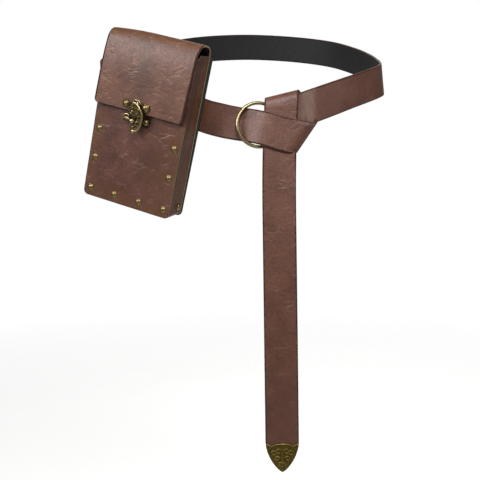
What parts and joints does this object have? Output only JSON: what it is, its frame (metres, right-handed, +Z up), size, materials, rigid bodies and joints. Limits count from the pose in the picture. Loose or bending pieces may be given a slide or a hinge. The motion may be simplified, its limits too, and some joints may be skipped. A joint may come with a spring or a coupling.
{
  "type": "belt pouch on a ring belt",
  "caption": "Flat leather belt pouch with a long flap and a swing hook clasp, riding on a ring belt that is knotted in front and hangs down.",
  "frame": {"origin": "the middle of the wearer's waist, inside the belt's loop", "axes": "+Z up, +X towards the right of the picture, -Y towards the viewer and the wearer's front"},
  "size_m": [0.3614, 0.3884, 0.5348],
  "materials": {
    "pouch_leather": "aniline brown leather, satin, worn at the edges",
    "belt_leather": "brown leather strap, satin outside, black inside",
    "black_backing": "thick black leather, dull",
    "aged_brass": "antique brass, dark in the hollows"
  },
  "bodies": {
    "root": {"front_panel": "pouch_leather", "gusset": "pouch_leather", "back_flap": "pouch_leather", "back_lining": "black_backing", "belt_loop_left": "pouch_leather", "belt_loop_right": "pouch_leather", "front_rivet_1": "aged_brass", "front_rivet_2": "aged_brass", "front_rivet_3": "aged_brass", "front_rivet_4": "aged_brass", "front_rivet_5": "aged_brass", "front_rivet_6": "aged_brass", "front_rivet_7": "aged_brass", "front_rivet_8": "aged_brass", "gusset_rivet_left": "aged_brass", "gusset_rivet_right": "aged_brass", "loop_rivet_left_lower": "aged_brass", "loop_rivet_left_upper": "aged_brass", "loop_rivet_right_lower": "aged_brass", "loop_rivet_right_upper": "aged_brass", "clasp_upper_plate": "aged_brass", "clasp_lower_plate": "aged_brass", "clasp_rivet_upper_left": "aged_brass", "clasp_rivet_upper_right": "aged_brass", "clasp_rivet_lower_left": "aged_brass", "clasp_rivet_lower_right": "aged_brass", "belt_strap": "belt_leather", "ring": "aged_brass", "strap_tip": "aged_brass"},
    "hook": {"swing_hook": "aged_brass"}
  },
  "joints": [
    {"name": "hook_swing", "type": "hinge", "parent": "root", "child": "hook", "pos_m": [-0.11763, -0.18774, -0.0447], "axis": [-0.3681, -0.9245, -0.0994], "range_deg": [0, 100]}
  ]
}
